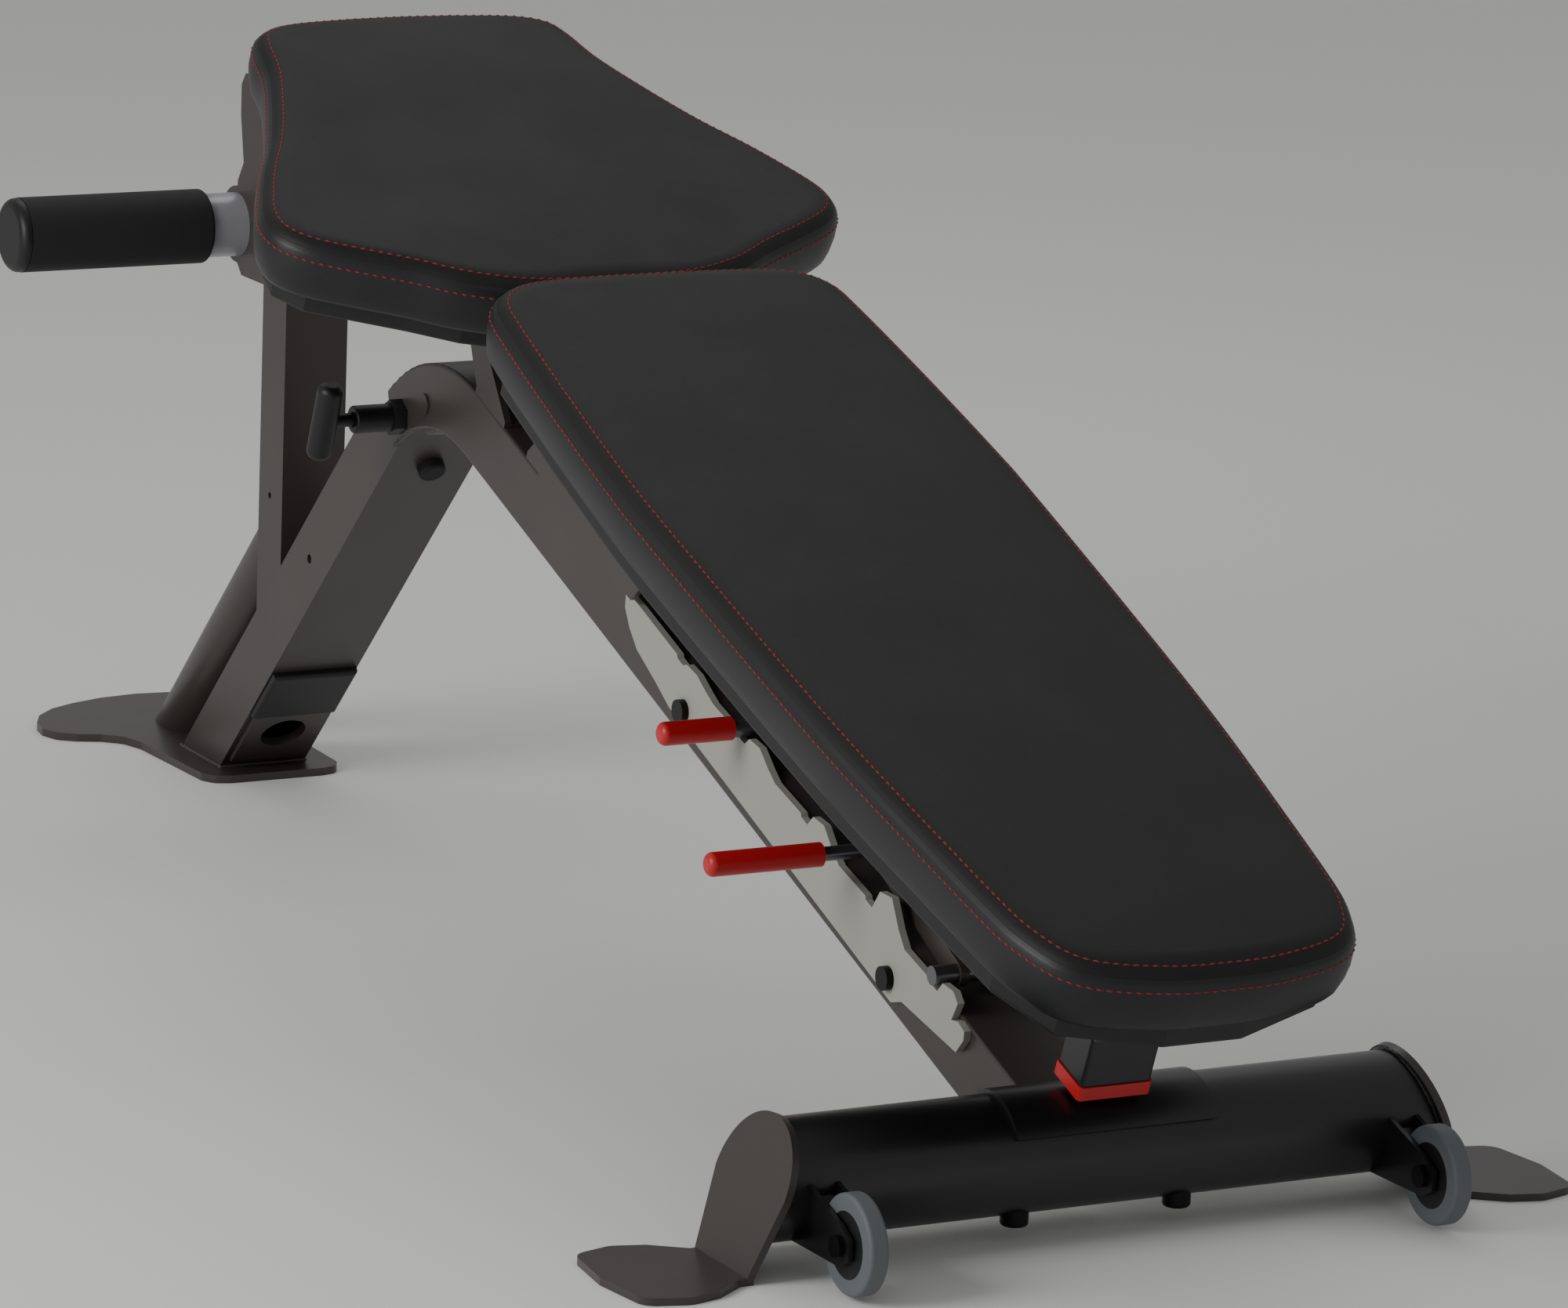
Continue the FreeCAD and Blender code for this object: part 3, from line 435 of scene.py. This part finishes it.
# body, half outline, base height, ends of the crown's middle line, crown height
pads = (("back", BACK_HALF, 182.0, (-110, 560), 4.0), ("seat", SEAT_HALF, 150.0, (790, 960), 4.0))
for body, half, base, spine, crown in pads:
    obj, loop = make_pad(body + "_pad", half, base, spine, crown)
    settle(obj, base)
    rows = stitched(body, obj, loop, base)
    for o in [obj] + rows:
        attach(o, body)
    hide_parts(body + "_cushion")

# ---------------------------------------------------------------- weld beads
BEAD_SIDES = 6
BEAD_RIPPLE = 0.14
BEAD_RIPPLE_TURN = 1.9
BEAD_UNEVEN = 0.06
FOOT_LEAN = math.tan(math.radians(20.2))
FOOT_BEAD_X = 251.0
FOOT_BEAD_RAD = 38.6
FOOT_BEAD_POINTS = 120
LEG_HINGE_Y = 233.75
LEG_SLOPE = math.radians(45.3)
LEG_DROP = 346
LEG_NEAR_FACE = 7
LEG_FAR_FACE = 57.8
LEG_BEAD_HALF = 35.4
LEG_BEAD_PROUD = 0.4
LEG_BEAD_Z = 6.2


def bead(name, path, body, rad=1.6, slot="frame_paint"):
    """A rippled bead along a closed path in metres, riding on a body."""
    bm = bmesh.new()
    n = len(path)
    rings = []
    for i, p in enumerate(path):
        t = (path[(i + 1) % n] - path[i - 1]).normalized()
        a = t.orthogonal().normalized()
        b = t.cross(a)
        ripple = BEAD_RIPPLE * math.sin(i * BEAD_RIPPLE_TURN)
        r = rad * MM * (1.0 + ripple + BEAD_UNEVEN * random.random())
        turns = [q * 2 * math.pi / BEAD_SIDES for q in range(BEAD_SIDES)]
        rings.append([bm.verts.new(p + (a * math.cos(ang) + b * math.sin(ang)) * r) for ang in turns])
    for i in range(n):
        r0 = rings[i]
        r1 = rings[(i + 1) % n]
        near = min(range(BEAD_SIDES), key=lambda k: (r1[k].co - r0[0].co).length)
        for q in range(BEAD_SIDES):
            q1 = (q + 1) % BEAD_SIDES
            f = bm.faces.new((r0[q], r0[q1], r1[(q + 1 + near) % BEAD_SIDES], r1[(q + near) % BEAD_SIDES]))
            f.smooth = True
    bmesh.ops.recalc_face_normals(bm, faces=bm.faces)
    obj = finish_mesh(name, bm, PAINT[slot])
    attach(obj, body)
    return obj


def leg_face_y(face):
    """Where a face of the sloping leg, at a depth from its hinge line, meets its foot plate."""
    along = (LEG_DROP + face * math.cos(LEG_SLOPE)) / math.sin(LEG_SLOPE)
    return LEG_HINGE_Y + along * math.cos(LEG_SLOPE) + face * math.sin(LEG_SLOPE)


for side, sgn in (("right", 1), ("left", -1)):
    ring = []
    for k in range(FOOT_BEAD_POINTS):
        a = k / FOOT_BEAD_POINTS * 2 * math.pi
        y = REAR_TUBE_Y + FOOT_BEAD_RAD * math.cos(a)
        z = REAR_TUBE_Z + FOOT_BEAD_RAD * math.sin(a)
        ring.append(Vector((sgn * (FOOT_BEAD_X - FOOT_LEAN * z), y, z)) * MM)
    bead(side + "_foot_weld", ring, "base", slot="tube_paint")
front = leg_face_y(LEG_NEAR_FACE) - LEG_BEAD_PROUD
back = leg_face_y(LEG_FAR_FACE) + LEG_BEAD_PROUD
corners = [(-LEG_BEAD_HALF, front), (LEG_BEAD_HALF, front), (LEG_BEAD_HALF, back), (-LEG_BEAD_HALF, back)]
path = []
for (x0, y0), (x1, y1) in zip(corners, corners[1:] + corners[:1]):
    count = max(int(math.hypot(x1 - x0, y1 - y0) / 2), 2)
    for k in range(count):
        t = k / count
        path.append(Vector((x0 + (x1 - x0) * t, y0 + (y1 - y0) * t, LEG_BEAD_Z)) * MM)
bead("leg_foot_weld", path, "leg", rad=1.8)

# ---------------------------------------------------------------- camera
CAMERA_PLACE = Vector((-2.393, -4.061 - 0.67425, 1.426))
CAMERA_YAW = 0.490
CAMERA_PITCH = 0.223
CAMERA_ROLL = -0.037
level_right = Vector((math.cos(CAMERA_YAW), -math.sin(CAMERA_YAW), 0.0))
ahead = Vector((math.sin(CAMERA_YAW) * math.cos(CAMERA_PITCH),
                math.cos(CAMERA_YAW) * math.cos(CAMERA_PITCH), -math.sin(CAMERA_PITCH)))
level_down = ahead.cross(level_right)
right = level_right * math.cos(CAMERA_ROLL) + level_down * math.sin(CAMERA_ROLL)
down = level_down * math.cos(CAMERA_ROLL) - level_right * math.sin(CAMERA_ROLL)
cam_data = bpy.data.cameras.new("camera")
cam_data.lens = 181.2
cam_data.sensor_width = 36
cam_data.clip_end = 50
cam = show(bpy.data.objects.new("camera", cam_data))
turn = Matrix((right, -down, -ahead)).transposed().to_4x4()
cam.matrix_world = Matrix.Translation(CAMERA_PLACE) @ turn
scene.camera = cam

# ---------------------------------------------------------------- light and floor
WORLD_STRENGTH = 0.38
FLOOR_HALF = 30.0
world = bpy.data.worlds.new("studio")
scene.world = world
world.use_nodes = True
world.node_tree.nodes["Background"].inputs["Color"].default_value = (1, 1, 1, 1)
world.node_tree.nodes["Background"].inputs["Strength"].default_value = WORLD_STRENGTH


def lamp(name, loc, aim, power, wide, tall):
    """A soft rectangular lamp aimed at a point."""
    data = bpy.data.lights.new(name, "AREA")
    data.shape = "RECTANGLE"
    data.size = wide
    data.size_y = tall
    data.energy = power
    obj = bpy.data.objects.new(name, data)
    obj.location = loc
    obj.rotation_euler = (Vector(aim) - Vector(loc)).to_track_quat("-Z", "Y").to_euler()
    show(obj)


lamp("key", (-3.0, -0.6, 1.5), (0, 0, 0.2), 52, 1.4, 1.4)
lamp("top", (0.6, 1.8, 2.8), (0, 0, 0.3), 11, 2.4, 1.2)

# a plain pale floor, wide enough to fill the view behind the bench
floor_mesh = bpy.data.meshes.new("floor")
floor_corners = [(-FLOOR_HALF, -FLOOR_HALF, 0.0), (FLOOR_HALF, -FLOOR_HALF, 0.0),
                 (FLOOR_HALF, FLOOR_HALF, 0.0), (-FLOOR_HALF, FLOOR_HALF, 0.0)]
floor_mesh.from_pydata(floor_corners, [], [(0, 1, 2, 3)])
# Matt painted studio floor: white, with almost no shine.
floor_mesh.materials.append(material("matt white studio floor", "#f4f4f2", 0.9, shine=0.2))
floor = show(bpy.data.objects.new("floor", floor_mesh))
